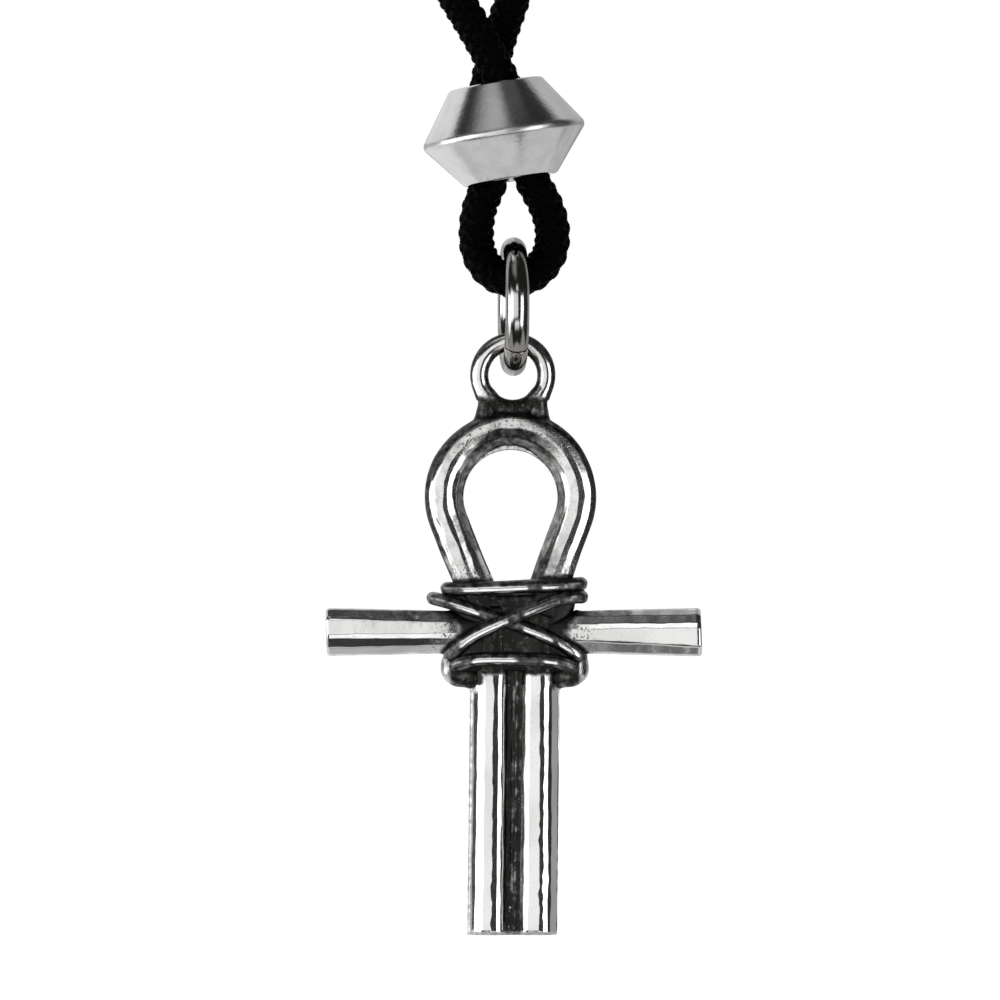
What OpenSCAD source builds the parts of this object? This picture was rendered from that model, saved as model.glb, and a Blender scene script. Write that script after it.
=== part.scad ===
// Ankh pendant on a braided neck cord, in millimetres, +Z up, its front towards -Y.
// The origin is at the nape of the neck, in the middle of the sleeve that joins the cord's ends.
// The cord comes down both sides, crosses itself in a two-cone bead and turns round in a small
// eye under it. A jump ring hangs in the eye, and the ankh hangs in the jump ring by its bail.

/* [Ankh shaft and crossbar] */
// Length of the shaft, from the middle of the crossbar to its foot
shaft_l = 19.15; // [12:0.05:30]
// Diameter of each of the shaft's two rods
rod_d = 2.35; // [1.8:0.05:2.8]
// Distance between the middles of the two rods
rod_pitch = 3.35; // [3:0.05:4]
// Chamfer at the foot of a rod
rod_chamfer = 0.15; // [0.05:0.05:0.3]
// Depth of the web between the rods, front to back
web_depth = 1.1; // [0.6:0.1:1.6]
// Diameter of the thin rib along the middle of the web
rib_d = 0.5; // [0.3:0.05:0.8]
// Length of the crossbar, end to end
cross_l = 23.7; // [18:0.1:32]
// Diameter of the crossbar at its ends
cross_end_d = 3; // [2.4:0.05:3.6]
// Diameter of the crossbar where it goes into the binding
cross_root_d = 2.65; // [2:0.05:3]
// Chamfer round the ends of the crossbar
cross_chamfer = 0.2; // [0.05:0.05:0.4]

/* [Ankh loop and bail] */
// Radius of the loop's round part, to the middle of its bar
loop_r = 4.2; // [3.6:0.05:5]
// Diameter of the bar round the loop
loop_bar_d = 2.45; // [2:0.05:2.8]
// Slant of the loop's straight legs, in degrees from upright
leg_slant = 21; // [17:0.5:26]
// Height above the crossbar's middle at which the legs turn into the rods
knee_z = 1.2; // [0.6:0.1:2]
// Outer diameter of the bail ring on top of the loop
bail_d = 5.4; // [5:0.05:6.4]
// Diameter of the bail's hole
bail_hole_d = 3.1; // [2.6:0.05:3.6]
// How deep the bail is cast into the top of the loop
bail_sink = 0.42; // [0.3:0.02:0.6]

/* [Binding] */
// Diameter of the binding wire
bind_d = 0.82; // [0.6:0.02:1]
// Half width of the cast core under the binding
core_w = 4.05; // [3.8:0.05:4.3]
// Half depth of the core
core_depth = 1.05; // [0.8:0.05:1.15]
// Half height of the core, above and below the crossbar's middle
core_h = 2.4; // [2:0.1:3]
// Height of the two lobes that round the core off to the rods
lobe_h = 1.2; // [0.8:0.1:1.8]

/* [Jump ring] */
// Outer diameter of the jump ring
ring_d = 8.78; // [8:0.02:10]
// Diameter of its wire
ring_wire_d = 1.5; // [1.2:0.05:1.7]
// Width of the saw cut that opens the ring
ring_cut = 0.08; // [0.04:0.01:0.2]
// Where the cut is, in degrees below the ring's front
ring_cut_angle = 43; // [20:1:70]
// How far the ring is turned about the vertical, in degrees
ring_turn = 4; // [0:0.5:6]
// Play between each two links that hang in one another
link_gap = 0.1; // [0.05:0.01:0.15]

/* [Bead] */
// Diameter of the bead at its widest
bead_d = 10.3; // [9:0.1:13]
// Diameter of its two end faces
bead_face_d = 5.9; // [5.8:0.05:7]
// Height of its upper cone
bead_up = 3.3; // [2.6:0.1:4]
// Height of its lower cone
bead_down = 2.85; // [2.4:0.05:3.1]
// Diameter of the hole that both strands of the cord run through
bead_hole_d = 5.3; // [5.25:0.05:5.6]
// Height of the narrow band where the two cones meet
bead_rim = 0.3; // [0.1:0.05:0.8]
// Lean of the bead's axis to the left, in degrees
bead_lean = 9.3; // [7:0.1:11]

/* [Cord and sleeve] */
// Diameter of the braided cord
cord_d = 2.2; // [1.8:0.05:2.25]
// Half the width of the cord's loop round the neck
neck_half_w = 67; // [60:0.5:74]
// Distance of the hanging pieces in front of the nape
front_reach = 135; // [120:1:150]
// Depth of the eye's lowest point below the nape
drop = 195; // [175:1:215]
// Height of the bead above the eye's lowest point
bead_rise = 9.15; // [9:0.05:10]
// Length of the sleeve at the nape
sleeve_l = 14; // [10:0.5:24]
// Wall of the sleeve
sleeve_wall = 0.7; // [0.4:0.05:1.2]
// Play round the cord in the sleeve
sleeve_gap = 0.05; // [0.03:0.01:0.2]

/* [Hidden] */
$fn = 40;

// How far the eye sits to the right of the middle, and the bead to the left of the eye
eye_shift = 0.1;
bead_shift = 0.6;
// Lowest point of the cord's middle, in the eye under the bead, where the jump ring hangs
eye = [eye_shift, -front_reach, -drop];
// Middle of the bead, on the plane where its two cones meet
bead_pos = eye + [-bead_shift, 0, bead_rise];
// Half of the small space between the cord's two ends in the sleeve
cord_end = 0.4;
// Where the cord starts to bend beside the sleeve
straight_x = sleeve_l / 2 + cord_d;

// The cord's route round each side of the neck, as shares of the loop's half width, of the way
// to the front and of the way down. The left strand comes down in front of the right one
right_side = [
    [0.403, 0.037, 0.005], [0.791, 0.185, 0.036], [1, 0.415, 0.092], [0.94, 0.652, 0.21],
    [0.672, 0.83, 0.395], [0.425, 0.922, 0.564], [0.179, 0.981, 0.738], [0.042, 0.995, 0.8615],
];
left_side = [
    [-0.128, 1.0015, 0.8615], [-0.313, 0.978, 0.738], [-0.545, 0.9185, 0.564],
    [-0.754, 0.822, 0.395], [-0.955, 0.652, 0.21], [-1, 0.415, 0.092], [-0.791, 0.185, 0.036],
    [-0.403, 0.037, 0.005],
];
// Its route down through the bead, round the eye and up again, measured from the eye: sideways
// and to the back in cord diameters, upwards in shares of the bead's height above the eye
hanging = [
    [0, 0.364, 1.967], [-0.455, 0.545, 1.639], [-0.75, 0.545, 1.344], [-0.773, 0.318, 1.005],
    [-0.682, 0.045, 0.678], [-0.955, 0, 0.514], [-1.068, 0, 0.339], [-0.977, 0, 0.175],
    [-0.568, 0, 0.044], [0, 0, 0], [0.568, 0, 0.044], [1.023, 0, 0.175], [1.114, 0, 0.35],
    [0.909, 0, 0.525], [0.568, -0.045, 0.678], [0.205, -0.318, 1.005], [-0.273, -0.545, 1.344],
    [-0.773, -0.568, 1.585], [-1.864, -0.409, 2.033],
];
function round_neck(side) =
    [for (p = side) [p.x * neck_half_w, -p.y * front_reach, -p.z * drop]];
function from_eye(run) = [for (p = run) eye + [p.x * cord_d, p.y * cord_d, p.z * bead_rise]];
cord_route = concat(
    [[cord_end, 0, 0], [straight_x, 0, 0]], round_neck(right_side), from_eye(hanging),
    round_neck(left_side), [[-straight_x, 0, 0], [-cord_end, 0, 0]]);
// Sides of the swept cord, of the ankh's bars and of its binding wire
cord_sides = 8;
bar_sides = 16;
bind_sides = 8;

// The loop's round part: the height of its centre, where the slanted legs become tangent to it
loop_z = knee_z + (loop_r - rod_pitch / 2 * cos(leg_slant)) / sin(leg_slant);
loop_top = loop_z + loop_r + loop_bar_d / 2;
bail_wire_d = (bail_d - bail_hole_d) / 2;
bail_z = loop_top - bail_sink + bail_d / 2;

// How the links hang in one another, from the eye of the cord down to the ankh's own zero
ring_r = (ring_d - ring_wire_d) / 2;
ring_z = eye.z + cord_d / 2 + link_gap + ring_wire_d / 2 - ring_r;
ring_low_z = ring_z - ring_r;
ankh_z = ring_low_z + ring_wire_d / 2 + link_gap - bail_hole_d / 2 - bail_z;

// The turns of the binding wire, one row a turn. Heights are shares of the core's half height
TURN_WIDE = 0;   // how far the wire's middle stands out beside the core, as a share of its diameter
TURN_PROUD = 1;  // how far it stands out in front of the core, as a share of its diameter
TURN_SHIFT = 2;  // how far the turn sits to the right, as a share of its diameter
TURN_MID = 3;    // height of the middle of the turn
TURN_RISE = 4;   // how much higher the right end is than the middle
TURN_LEFT = 5;   // extra curl of the left end
TURN_RIGHT = 6;  // extra curl of the right end
TURNS = [
    [0.25, 0.30, 0.15, 1.17, 0.09, 0, 0],
    [0.20, 0.46, 0.20, 0.30, 0.71, -0.31, -0.08],
    [0.35, 0.20, -0.35, 0.19, -0.67, -0.06, -0.28],
    [-0.30, 0.32, -0.05, -0.75, -0.02, -0.2, -0.2],
];
// Steps round one turn of wire, and how squarely the turn lies on the flat core
turn_steps = 32;
turn_flatness = 0.55;

// Direction of a path at its point i, along the line through its two neighbours
function heading(path, i, closed) =
    let (n = len(path),
         a = closed ? path[(i + n - 1) % n] : path[max(i - 1, 0)],
         b = closed ? path[(i + 1) % n] : path[min(i + 1, n - 1)])
    (b - a) / norm(b - a);

// One ring of points round a path's point, square to the path, measured from the direction ref
function ring_at(middle, along, ref, r, sides) =
    let (u = cross(along, ref) / norm(cross(along, ref)), v = cross(along, u))
    [for (k = [0 : sides - 1]) middle + r * (cos(360 * k / sides) * u + sin(360 * k / sides) * v)];

// A round bar along a path, with a radius at each point. An open bar gets flat ends
module bar_along(path, radii, sides, ref, closed = false) {
    n = len(path);
    rows = closed ? n : n - 1;
    points = [for (i = [0 : n - 1])
        each ring_at(path[i], heading(path, i, closed), ref, radii[i], sides)];
    walls = [for (i = [0 : rows - 1], k = [0 : sides - 1])
        let (j = (i + 1) % n, m = (k + 1) % sides)
        each [[i * sides + k, j * sides + m, i * sides + m],
              [i * sides + k, j * sides + k, j * sides + m]]];
    ends = closed ? [] : [[for (k = [0 : sides - 1]) k],
                          [for (k = [sides - 1 : -1 : 0]) (n - 1) * sides + k]];
    polyhedron(points = points, faces = concat(walls, ends));
}

// A torus of a round wire, lying flat, with its middle radius r
module torus(r, wire_d, section_fn = 16) {
    rotate_extrude() translate([r, 0]) circle(d = wire_d, $fn = section_fn);
}

// Smooth curve through the route: a point's tangent weighs its two stretches by their lengths
function stretch(p, i) = norm(p[i + 1] - p[i]);
function slope(p, i) = (p[i + 1] - p[i]) / stretch(p, i);
function tangent(p, i) =
    i == 0 ? slope(p, 0) :
    i == len(p) - 1 ? slope(p, i - 1) :
    (slope(p, i - 1) * stretch(p, i) + slope(p, i) * stretch(p, i - 1))
        / (stretch(p, i - 1) + stretch(p, i));
function between(p, i, t) =
    let (h = stretch(p, i))
    p[i] * (2 * t ^ 3 - 3 * t ^ 2 + 1) + tangent(p, i) * h * (t ^ 3 - 2 * t ^ 2 + t)
    + p[i + 1] * (3 * t ^ 2 - 2 * t ^ 3) + tangent(p, i + 1) * h * (t ^ 3 - t ^ 2);
// Rings a stretch gets: three on the long ones round the neck, two in the tight eye, else one
long_stretch = 5.4 * cord_d;
tight_stretch = 0.9 * cord_d;
function rings_in(h) = h > long_stretch ? 3 : h < tight_stretch ? 2 : 1;
function smooth(p) =
    [for (i = [0 : len(p) - 2]) let (n = rings_in(stretch(p, i)))
        for (k = [0 : n - 1]) between(p, i, k / n),
     p[len(p) - 1]];

// The braided cord as one plain round tube
module neck_cord() {
    path = smooth(cord_route);
    color("#111113")
        bar_along(path, [for (p = path) cord_d / 2], cord_sides, [0, 1, 0]);
}

// Plain sleeve over the cord's two ends at the nape
module nape_sleeve() {
    bore = cord_d / 2 + sleeve_gap;
    wall_r = bore + sleeve_wall;
    edge = sleeve_wall / 3;
    color("#9a9a9c")
        rotate([0, 90, 0]) rotate_extrude() polygon([
            [bore, -sleeve_l / 2], [wall_r - edge, -sleeve_l / 2], [wall_r, edge - sleeve_l / 2],
            [wall_r, sleeve_l / 2 - edge], [wall_r - edge, sleeve_l / 2], [bore, sleeve_l / 2],
        ]);
}

// Two-cone bead, leaning with the cord
module bead() {
    r = bead_d / 2;
    face = bead_face_d / 2;
    hole = bead_hole_d / 2;
    lip = (face - hole) / 3;
    color("#c4c5c6")
        translate(bead_pos) rotate([0, -bead_lean, 0]) rotate_extrude() polygon([
            [hole, -bead_down + lip], [hole + lip, -bead_down], [face - lip, -bead_down],
            [face, -bead_down + lip], [r, -bead_rim / 2], [r, bead_rim / 2], [face, bead_up - lip],
            [face - lip, bead_up], [hole + lip, bead_up],
            [hole, bead_up - lip],
        ]);
}

// Jump ring, hanging in the eye of the cord with its plane front to back
module jump_ring() {
    color("#b9babc")
        translate([eye.x, eye.y, ring_z]) rotate([0, 0, ring_turn]) rotate([0, 90, 0])
            difference() {
                torus(ring_r, ring_wire_d, 24);
                rotate([0, 0, ring_cut_angle - 90]) translate([ring_r, 0, 0])
                    cube([2 * ring_wire_d, ring_cut, 2 * ring_wire_d], center = true);
            }
}

// Half of the bent bar's middle line, from the top of the loop to the foot of the right rod
arc_steps = 14;
half_loop = [for (i = [0 : arc_steps]) let (a = 90 - i / arc_steps * (90 + leg_slant))
    [loop_r * cos(a), 0, loop_z + loop_r * sin(a)]];
rod_x = rod_pitch / 2;
knee = [rod_x, 0, knee_z];
half_bar = concat(half_loop, [knee, [rod_x, 0, knee_z - rod_d],
    [rod_x, 0, rod_chamfer - shaft_l], [rod_x, 0, -shaft_l]]);

// The radius of the bent bar at each point of its half
half_radii = concat([for (p = half_loop) loop_bar_d / 2],
    [rod_d / 2, rod_d / 2, rod_d / 2, rod_d / 2 - rod_chamfer]);

// The loop and both rods: one bar bent like a hairpin
module bent_bar() {
    last = len(half_bar) - 1;
    left = [for (i = [last : -1 : 1]) [-half_bar[i].x, 0, half_bar[i].z]];
    left_radii = [for (i = [last : -1 : 1]) half_radii[i]];
    bar_along(concat(left, half_bar), concat(left_radii, half_radii), bar_sides, [0, 1, 0]);
}

// The recessed web between the rods, with its thin rib in front and behind
module web() {
    top = knee_z;
    foot = 2 * rod_chamfer - shaft_l;
    translate([-rod_x, -web_depth / 2, foot]) cube([rod_pitch, web_depth, top - foot]);
    for (side = [-1, 1])
        translate([0, side * web_depth / 2, foot]) cylinder(d = rib_d, h = top - foot, $fn = 12);
}

// The crossbar, thicker at its ends than at the binding, and necked where it goes into the core
module crossbar() {
    half = cross_l / 2;
    end_r = cross_end_d / 2;
    root_r = cross_root_d / 2;
    neck_r = core_depth * 0.8;
    neck_x = core_w - cross_root_d / 2;
    rotate([0, 90, 0]) rotate_extrude() polygon([
        [0, -half], [end_r - cross_chamfer, -half], [end_r, cross_chamfer - half],
        [root_r, -core_w], [neck_r, -neck_x], [neck_r, neck_x], [root_r, core_w],
        [end_r, half - cross_chamfer],
        [end_r - cross_chamfer, half], [0, half],
    ]);
}

// The cast core that the binding lies on, a slab with round ends, and the lobe under each side
module core() {
    lobe_share = 0.85;
    lobe_r = core_depth * lobe_share;
    out_x = core_w + bind_d / 2 - lobe_r;
    hull() for (side = [-1, 1])
        translate([side * (core_w - core_depth), 0, -core_h])
            cylinder(r = core_depth, h = 2 * core_h, $fn = 24);
    for (side = [-1, 1]) hull() {
        translate([side * rod_x, 0, -core_h - lobe_h]) cylinder(r = lobe_r, h = lobe_h, $fn = 24);
        translate([side * out_x, 0, -core_h]) sphere(r = lobe_r, $fn = 24);
    }
}

// Point of a turn of wire at the angle a, from the right end round the front
function turn_point(turn, a) =
    let (u = cos(a), s = sin(a),
         wide = core_w + turn[TURN_WIDE] * bind_d,
         depth = core_depth + turn[TURN_PROUD] * bind_d,
         curl = (u < 0 ? turn[TURN_LEFT] : turn[TURN_RIGHT]) * u ^ 4)
    [wide * u + turn[TURN_SHIFT] * bind_d, -depth * sign(s) * abs(s) ^ turn_flatness,
     core_h * (turn[TURN_MID] + turn[TURN_RISE] * u + curl)];

// The binding: closed turns of wire, cast onto the core
module binding() {
    for (turn = TURNS) {
        path = [for (i = [0 : turn_steps - 1]) turn_point(turn, 360 * (i + 0.5) / turn_steps)];
        bar_along(path, [for (p = path) bind_d / 2], bind_sides, [0, 0, 1], closed = true);
    }
}

// The bail ring on top of the loop, with cast feet that fill the corners beside it
module bail() {
    mid_r = (bail_hole_d + bail_wire_d) / 2;
    foot_angle = 58;
    tip_share = 0.7;
    heel_share = 0.8;
    translate([0, 0, bail_z]) rotate([90, 0, 0]) torus(mid_r, bail_wire_d);
    for (side = [-1, 1]) hull() {
        translate([side * mid_r * sin(foot_angle), 0, bail_z - mid_r * cos(foot_angle)])
            sphere(d = bail_wire_d * tip_share, $fn = 12);
        translate([side * mid_r, 0, loop_top - bail_wire_d]) sphere(d = bail_wire_d, $fn = 12);
        translate([side * mid_r / 3, 0, loop_top - bail_sink])
            sphere(d = bail_wire_d * heel_share, $fn = 12);
    }
}

// The whole ankh, one casting
module ankh() {
    color("#a9a9a8") translate([eye.x, eye.y, ankh_z]) {
        bent_bar();
        web();
        crossbar();
        core();
        binding();
        bail();
    }
}

neck_cord();
nape_sleeve();
bead();
jump_ring();
ankh();
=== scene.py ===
# %% [markdown]
# # An ankh pendant on a braided cord
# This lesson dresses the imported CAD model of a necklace: a braided black cord, a two-cone bead,
# a jump ring and a cast ankh bound with wire. The CAD model gives every place and size. Each
# piece here is a surface worked out with numpy around it, in the same frame, in metres.

import math

import bpy
import numpy as np
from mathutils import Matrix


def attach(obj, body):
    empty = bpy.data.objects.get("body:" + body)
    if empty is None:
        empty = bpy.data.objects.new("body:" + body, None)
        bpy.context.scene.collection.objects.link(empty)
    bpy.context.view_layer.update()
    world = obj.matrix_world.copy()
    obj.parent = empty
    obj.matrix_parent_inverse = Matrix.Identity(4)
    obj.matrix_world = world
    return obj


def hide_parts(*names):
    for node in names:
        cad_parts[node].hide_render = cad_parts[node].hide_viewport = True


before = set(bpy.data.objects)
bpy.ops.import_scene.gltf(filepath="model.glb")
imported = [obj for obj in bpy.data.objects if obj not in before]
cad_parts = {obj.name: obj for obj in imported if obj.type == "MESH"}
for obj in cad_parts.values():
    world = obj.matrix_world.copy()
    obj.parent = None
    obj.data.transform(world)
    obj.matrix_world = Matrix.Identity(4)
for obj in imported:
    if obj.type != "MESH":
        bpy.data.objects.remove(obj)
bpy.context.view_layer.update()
MM = 0.001

# %% [markdown]
# The picture looks straight at the pendant from the front and far enough away that its edges
# hardly converge, so a long lens stands nearly half a metre off. It takes in the pendant, the
# bead and the start of the two strands. Shapes are thought out in mm and made in metres.

# %% The camera
FRONT = -135.0       # where the pendant hangs along Y
PICTURE_WIDTH, PICTURE_X, PICTURE_Z = 63.3, -0.75, -208.93
CAMERA_AWAY = 470.0
camera_data = bpy.data.cameras.new("camera")
camera_data.lens = camera_data.sensor_width * CAMERA_AWAY / PICTURE_WIDTH
camera_data.clip_start, camera_data.clip_end = 0.01, 60.0
camera = bpy.data.objects.new("camera", camera_data)
camera.location = (PICTURE_X * MM, (FRONT - CAMERA_AWAY) * MM, PICTURE_Z * MM)
camera.rotation_euler = (math.radians(90), 0, 0)
bpy.context.scene.collection.objects.link(camera)
bpy.context.scene.camera = camera
print("lens", round(camera_data.lens), "mm")

# %% [markdown]
# ## Shader sums written as Python
# A material is a sum of patterns. Writing `1 - mask` is easier to read than a chain of boxes, so
# one small class stands for a socket, and each operator on it adds the Math node that does it.

# %% A socket with operators
class Signal:
    """An output of a shader node. An operator on it adds a Math node and gives its output."""
    def __init__(self, maker, socket):
        self.maker, self.socket = maker, socket

    def math(self, operation, *values):
        return self.maker.node("ShaderNodeMath", {"operation": operation}, values)

    def __add__(self, other): return self.math("ADD", self, other)
    def __radd__(self, other): return self.math("ADD", other, self)
    def __sub__(self, other): return self.math("SUBTRACT", self, other)
    def __rsub__(self, other): return self.math("SUBTRACT", other, self)
    def __mul__(self, other): return self.math("MULTIPLY", self, other)
    def __neg__(self): return self.math("MULTIPLY", self, -1.0)
    def __abs__(self): return self.math("ABSOLUTE", self)
    def highest(self, other): return self.math("MAXIMUM", self, other)
    def sine(self): return self.math("SINE", self)

    def rise(self, low, high):
        """0 below low, 1 above high, and a smooth step between them."""
        return self.maker.node("ShaderNodeMapRange", {"interpolation_type": "SMOOTHSTEP"},
                               {"Value": self, "From Min": low, "From Max": high})

    def band(self, low, high, soft):
        """1 between low and high, 0 outside, with a soft edge on either side."""
        return self.rise(low - soft, low + soft) * (1 - self.rise(high - soft, high + soft))


# %% A maker of nodes
class NodeMaker:
    """Adds nodes to a tree: settings are set first, then values and links go into the inputs."""
    def __init__(self, tree):
        self.tree = tree
        tree.nodes.clear()

    def node(self, kind, settings, inputs, output=0):
        made = self.tree.nodes.new(kind)
        for name, value in settings.items():
            setattr(made, name, value)
        for name, value in inputs.items() if isinstance(inputs, dict) else enumerate(inputs):
            if isinstance(value, Signal):
                self.tree.links.new(value.socket, made.inputs[name])
            elif isinstance(value, tuple) and made.inputs[name].type == "RGBA":
                made.inputs[name].default_value = (*value, 1)
            else:
                made.inputs[name].default_value = value
        return Signal(self, made.outputs[output])

    def blend(self, factor, first, second):
        """Colour that goes from first to second as factor goes from 0 to 1."""
        return self.node("ShaderNodeMix", {"data_type": "RGBA"},
                         {0: factor, 6: first, 7: second}, 2)

    def surface(self, kind, inputs):
        """The shader of a surface or of the world, joined to the tree's output node."""
        shader = self.node(kind, {}, inputs)
        world = kind == "ShaderNodeBackground"
        out = self.tree.nodes.new("ShaderNodeOutputWorld" if world else "ShaderNodeOutputMaterial")
        self.tree.links.new(shader.socket, out.inputs["Surface"])


def new_material(name):
    material = bpy.data.materials.new(name)
    material.use_nodes = True
    return material, NodeMaker(material.node_tree)


# %% [markdown]
# ## The studio
# Polished metal shows little of itself and much of the room, so the room is designed first. The
# camera and matt surfaces see plain white. Mirror reflections see a dark room with one big soft
# window in front on the left, framed by bright strips, a strip on the right, and pale walls
# behind. It is a function of the direction in which a reflection leaves, in degrees: side is 0
# towards the camera and grows to the right, and lift grows upwards. Lamps alone would give a
# mirror only a few bright dots, and a picture of a room would have to be read from a file.

# %% The room that the metal mirrors
WHITE_HOT, SOFT_LIGHT = 2.4, 1.15
world = bpy.data.worlds.new("studio")
bpy.context.scene.world = world
world.use_nodes = True
room = NodeMaker(world.node_tree)
room_place = room.node("ShaderNodeTexCoord", {}, {}, "Generated")
ray_x, ray_y, ray_z = (room.node("ShaderNodeSeparateXYZ", {}, [room_place], axis)
                       for axis in "XYZ")
side = room.node("ShaderNodeMath", {"operation": "ARCTAN2"}, [ray_x, -ray_y]) * math.degrees(1)
lift = room.node("ShaderNodeMath", {"operation": "ARCSINE"}, [ray_z]) * math.degrees(1)
window = side.band(-70, 6, 1.5) * lift.band(-19, 21, 1.5) * 0.92
hot_spot = side.band(-70, -42, 9) * lift.band(-17, 17, 7) * 1.3
left_strip = side.band(-100, -74, 2) * lift.band(-26, 10, 4) * WHITE_HOT
right_strip = side.band(33, 60, 2) * lift.band(-31, 14, 4) * WHITE_HOT
upper_strip = side.band(-12, 8, 2) * lift.band(26, 34, 1.5) * (WHITE_HOT * 0.6)
lower_strip = side.band(-27, 21, 3) * lift.band(-39, -25, 1.5) * (WHITE_HOT * 0.5)
haze = side.band(-72, -10, 22) * lift.band(48, 76, 8) * 0.4
back_wall = abs(side).rise(113, 119) * lift.band(-64, 72, 3) * (0.36 - side * 0.0004)
back_glow = abs(side - 8).rise(109, 119) * abs(lift).band(8, 55, 3) * (0.62 - side * 0.001)
low_wall = abs(side).rise(58, 66) * lift.band(-69, -30, 2) * 0.56
table = lift.band(-84, -63, 2) * (0.6 - abs(side).rise(100, 150) * 0.17)
poles = lift.rise(70, 74) * 0.05 + (1 - lift.rise(-86, -83)) * 0.08
mirrored = (window + hot_spot + left_strip + right_strip + upper_strip + lower_strip + haze
            + back_wall.highest(back_glow).highest(low_wall).highest(table) + poles + 0.028)
seen = room.node("ShaderNodeLightPath", {}, {}, "Is Camera Ray")
mirror = room.node("ShaderNodeLightPath", {}, {}, "Is Glossy Ray")
unseen = mirror * mirrored + (1 - mirror) * SOFT_LIGHT
room.surface("ShaderNodeBackground", {
    "Color": (1.0, 1.0, 1.0), "Strength": seen + (1 - seen) * unseen})
world.cycles.sampling_method = "NONE"
bpy.context.scene.view_settings.view_transform = "Standard"
print("room of", len(world.node_tree.nodes), "nodes")

# %% [markdown]
# The floor lies far below and the mirrors don't see it. Neither do they see the key light, which
# only shapes what is matt: the cord.

# %% The floor and the soft key light
FLOOR_Z, FLOOR_REACH = -300.0, 30.0      # in mm, and in metres
floor_mesh = bpy.data.meshes.new("floor")
floor_mesh.from_pydata([(sx * FLOOR_REACH, sy * FLOOR_REACH, FLOOR_Z * MM) for sx, sy in
                        ((-1, -1), (1, -1), (1, 1), (-1, 1))], [], [(0, 1, 2, 3)])
floor = bpy.data.objects.new("floor", floor_mesh)
bpy.context.scene.collection.objects.link(floor)
floor.visible_glossy = False
floor_paint, maker = new_material("pale_floor")
maker.surface("ShaderNodeBsdfDiffuse", {"Color": (0.9, 0.9, 0.9)})
floor_mesh.materials.append(floor_paint)

key_data = bpy.data.lights.new("key", "AREA")
key_data.shape, key_data.size, key_data.energy = "DISK", 0.9, 14.0
key = bpy.data.objects.new("key", key_data)
key.location = (-0.7, -1.2, 0.9)
key.rotation_euler = (math.radians(52), 0, math.radians(-32))
key.visible_glossy = False
bpy.context.scene.collection.objects.link(key)
print("floor", FLOOR_Z, "mm, key light", key_data.energy, "W")

# %% [markdown]
# ## Surfaces on a grid
# Every piece is a skin: a grid of points with rows along it and columns round it. Its faces
# follow from the grid's indices. The rows may close into a ring, and open ends get a flat lid
# with a point in its middle. Several skins can be joined into one casting.

# %% Grids to meshes
def skin(points, ring=False):
    """The points and faces of a grid of rows and columns whose columns close round. With ring
    its rows close too, and otherwise each end gets a lid round the mean of its row. The faces
    are turned where the volume comes out negative, so that they all face out."""
    rows, columns = points.shape[:2]
    i, j = np.meshgrid(np.arange(rows if ring else rows - 1), np.arange(columns), indexing="ij")
    nxt_i, nxt_j = (i + 1) % rows, (j + 1) % columns
    quads = np.stack([i * columns + j, i * columns + nxt_j, nxt_i * columns + nxt_j,
                      nxt_i * columns + j], -1).reshape(-1, 4)
    flat = points.reshape(-1, 3)
    tris = np.zeros((0, 3), int)
    if not ring:
        k = np.arange(columns)
        last = (rows - 1) * columns
        flat = np.vstack([flat, points[0].mean(0), points[-1].mean(0)])
        tris = np.vstack([np.stack([(k + 1) % columns, k, np.full(columns, len(flat) - 2)], -1),
                          np.stack([last + k, last + (k + 1) % columns,
                                    np.full(columns, len(flat) - 1)], -1)])
    if signed_volume(flat, quads, tris) < 0:
        quads, tris = quads[:, ::-1], tris[:, ::-1]
    return flat, quads, tris


def signed_volume(points, quads, tris):
    """A sixth of the sum over all triangles of a . (b x c)."""
    corners = np.vstack([quads[:, [0, 1, 2]], quads[:, [0, 2, 3]], tris])
    a, b, c = (points[corners[:, k]] for k in range(3))
    return (a * np.cross(b, c)).sum() / 6


def joined(skins):
    """Several skins as one: the points are stacked and the faces' indices moved on."""
    offsets = np.cumsum([0] + [len(points) for points, _, _ in skins[:-1]])
    return (np.vstack([s[0] for s in skins]),
            np.vstack([s[1] + o for s, o in zip(skins, offsets)]),
            np.vstack([s[2] + o for s, o in zip(skins, offsets)]))


# %% Normals, and a mesh that stands for a CAD node
def point_normals(points, quads, tris):
    """Each point's normal: the sum of the cross products of the diagonals of the faces round it,
    made unit long."""
    normals = np.zeros_like(points)
    for faces in (quads, tris):
        a, b, c, d = (points[faces[:, k]] for k in (0, 1, 2, -1))      # a triangle's d is its c
        across = np.cross(c - a, d - b)
        for k in range(faces.shape[1]):
            np.add.at(normals, faces[:, k], across)
    return normals / np.maximum(np.linalg.norm(normals, axis=1, keepdims=True), 1e-12)


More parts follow.
